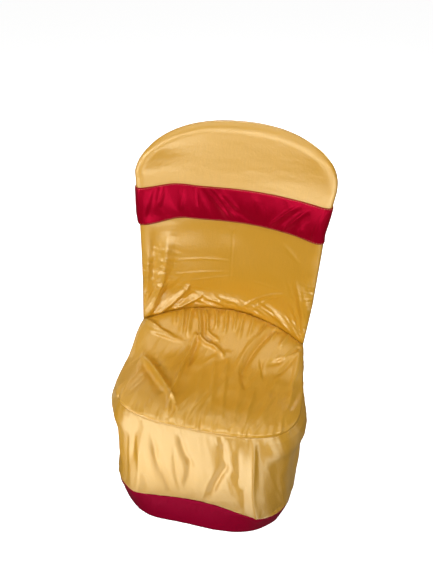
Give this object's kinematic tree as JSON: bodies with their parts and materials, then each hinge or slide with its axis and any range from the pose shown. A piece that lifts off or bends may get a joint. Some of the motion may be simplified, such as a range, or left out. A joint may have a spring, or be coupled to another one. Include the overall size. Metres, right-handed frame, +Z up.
{
  "type": "chair cover with sash",
  "caption": "Fitted satin cover for an armless stacking chair: rounded back, gathered seat, straight skirt to the floor, contrasting hem band and a sash wrapped round the back.",
  "frame": {"origin": "the middle of the cover's top, on its inner side, where the chair's top rail holds it up", "axes": "+Z up; +Y towards the rear of the chair; +X towards the right-hand side as one looks at the front of the chair"},
  "size_m": [0.4968, 0.504, 0.9218],
  "materials": {
    "gold_satin": "gold satin, glossy side out",
    "maroon_satin": "maroon satin, glossy side out"
  },
  "bodies": {
    "root": {"inner_back": "gold_satin", "outer_back_top_left": "gold_satin", "outer_back_top_right": "gold_satin", "outer_back_low_left": "gold_satin", "outer_back_low_right": "gold_satin", "seat_panel": "gold_satin", "skirt": "gold_satin", "hem_band": "maroon_satin", "sash": "maroon_satin"}
  },
  "joints": []
}
